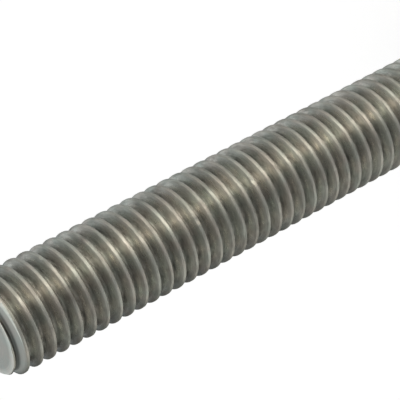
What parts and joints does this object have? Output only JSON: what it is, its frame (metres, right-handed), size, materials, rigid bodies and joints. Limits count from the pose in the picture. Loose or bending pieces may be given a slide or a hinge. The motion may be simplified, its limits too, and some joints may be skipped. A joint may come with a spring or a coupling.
{
  "type": "stud bolt",
  "caption": "Straight steel stud bolt, threaded over its whole length with a right-hand metric thread, with a chamfered flat end at each end. It takes a nut or a tapped hole at both ends.",
  "frame": {"origin": "centre of the lower end face, which the stud stands on", "axes": "+Z along the stud's axis towards its upper end; a groove of the thread crosses the lower end face on +X"},
  "size_m": [0.01, 0.01, 0.06],
  "materials": {
    "steel": "plain rolled steel, lightly oiled, dull between the crests and bright on them"
  },
  "bodies": {
    "root": {"stud": "steel"}
  },
  "joints": []
}
